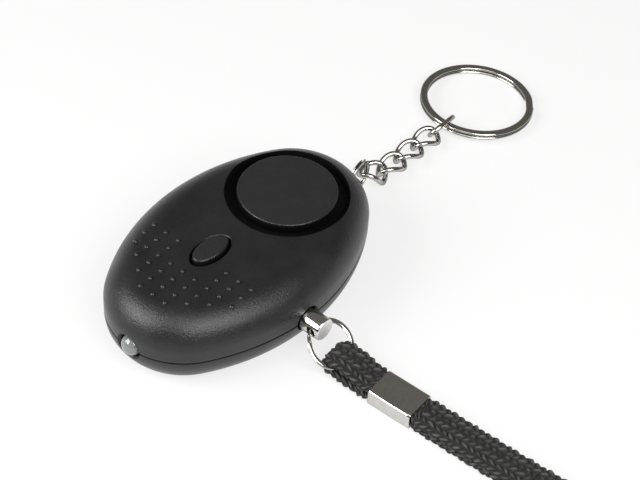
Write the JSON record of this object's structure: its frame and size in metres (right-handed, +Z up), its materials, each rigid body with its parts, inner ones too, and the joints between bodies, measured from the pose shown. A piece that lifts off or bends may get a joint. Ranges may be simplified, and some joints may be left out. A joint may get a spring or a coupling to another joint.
{
  "type": "personal safety alarm",
  "caption": "Oval keychain alarm with a round siren cap, oval lamp button, nose lamp, pull pin on a wrist strap, and a curb chain to a key ring.",
  "frame": {"origin": "middle of the case on its flat back", "axes": "+Z up through the siren cap and button, -X towards the lamp, +X towards the key ring, -Y towards the pull pin"},
  "size_m": [0.1373, 0.1714, 0.0202],
  "materials": {
    "case_plastic": "fine satin texture",
    "cap_plastic": "fine satin texture",
    "brass": "rolled sheet",
    "ceramic": "silvered ceramic",
    "contact_metal": "tinned",
    "board": "solder mask",
    "component_black": "moulded",
    "ferrite": "sintered",
    "copper_wire": "enamelled wire",
    "socket_plastic": "moulded",
    "cell_steel": "plated steel",
    "lamp_clear": "clear epoxy",
    "screw_steel": "plated",
    "plated_metal": "bright nickel plate",
    "strap_braid": "coarse flat braid"
  },
  "bodies": {
    "case": {"upper_case": "case_plastic", "lower_case": "case_plastic", "siren_cap": "cap_plastic", "piezo_brass_disc": "brass", "piezo_ceramic_disc": "ceramic", "piezo_contact_springs": "contact_metal", "circuit_board": "board", "switch_frame": "component_black", "driver_chip": "component_black", "driver_transistor": "component_black", "step_up_coil_core": "ferrite", "step_up_coil_winding": "copper_wire", "pin_socket": "socket_plastic", "pin_socket_contacts": "contact_metal", "battery_cell_1": "cell_steel", "battery_cell_2": "cell_steel", "battery_cell_3": "cell_steel", "battery_plate_contact": "contact_metal", "battery_spring_contact": "contact_metal", "led_lamp": "lamp_clear", "led_leads": "contact_metal", "case_screws": "screw_steel"},
    "button": {"led_button": "cap_plastic", "switch_plunger": "component_black"},
    "pin": {"pull_pin": "plated_metal"},
    "pin_ring": {"pin_ring": "plated_metal"},
    "strap": {"wrist_strap_upper": "strap_braid", "wrist_strap_lower": "strap_braid", "strap_ferrule": "plated_metal"},
    "tail_ring": {"tail_ring": "plated_metal"},
    "link_1": {"chain_link_1": "plated_metal"},
    "link_2": {"chain_link_2": "plated_metal"},
    "link_3": {"chain_link_3": "plated_metal"},
    "link_4": {"chain_link_4": "plated_metal"},
    "last_link": {"end_link": "plated_metal"},
    "key_ring": {"key_ring": "plated_metal"}
  },
  "joints": [
    {"name": "pin_pull", "type": "slide", "parent": "case", "child": "pin", "axis": [0, -1, 0], "range_m": [0, 0.013]},
    {"name": "pin_ring_swing", "type": "hinge", "parent": "pin", "child": "pin_ring", "pos_m": [-0.0029, -0.02517, 0.009], "axis": [-1, 0, 0], "range_deg": [-45, 105]},
    {"name": "strap_swing", "type": "hinge", "parent": "pin_ring", "child": "strap", "pos_m": [-0.0029, -0.03336, 0.00285], "axis": [-1, 0, 0], "range_deg": [-4, 38]},
    {"name": "button_press", "type": "slide", "parent": "case", "child": "button", "axis": [0, 0, -1], "range_m": [0, 0.0006], "stiffness_N_per_m": 1500},
    {"name": "tail_ring_swing", "type": "hinge", "parent": "case", "child": "tail_ring", "pos_m": [0.03802, -0.00056, 0.0055], "axis": [0, 0, 1], "range_deg": [-15, 45]},
    {"name": "link_1_lift", "type": "hinge", "parent": "tail_ring", "child": "link_1", "pos_m": [0.04413, 0.00081, 0.00418], "axis": [0, -1, 0], "range_deg": [-25, 25]},
    {"name": "link_2_turn", "type": "hinge", "parent": "link_1", "child": "link_2", "pos_m": [0.05021, -0.00072, 0.00248], "axis": [0, 0, 1], "range_deg": [-45, 5]},
    {"name": "link_3_lift", "type": "hinge", "parent": "link_2", "child": "link_3", "pos_m": [0.05675, -0.00078, 0.00202], "axis": [0, -1, 0], "range_deg": [-45, 35]},
    {"name": "link_4_turn", "type": "hinge", "parent": "link_3", "child": "link_4", "pos_m": [0.06325, -0.0009, 0.00202], "axis": [0, 0, 1], "range_deg": [-45, 35]},
    {"name": "last_link_turn", "type": "hinge", "parent": "link_4", "child": "last_link", "pos_m": [0.06957, -0.00107, 0.00235], "axis": [0, 0, 1], "range_deg": [-3, 45]},
    {"name": "key_ring_turn", "type": "hinge", "parent": "last_link", "child": "key_ring", "pos_m": [0.08705, -0.00143, 0.00188], "axis": [0.061, 0, 0.9981], "continuous": true}
  ]
}
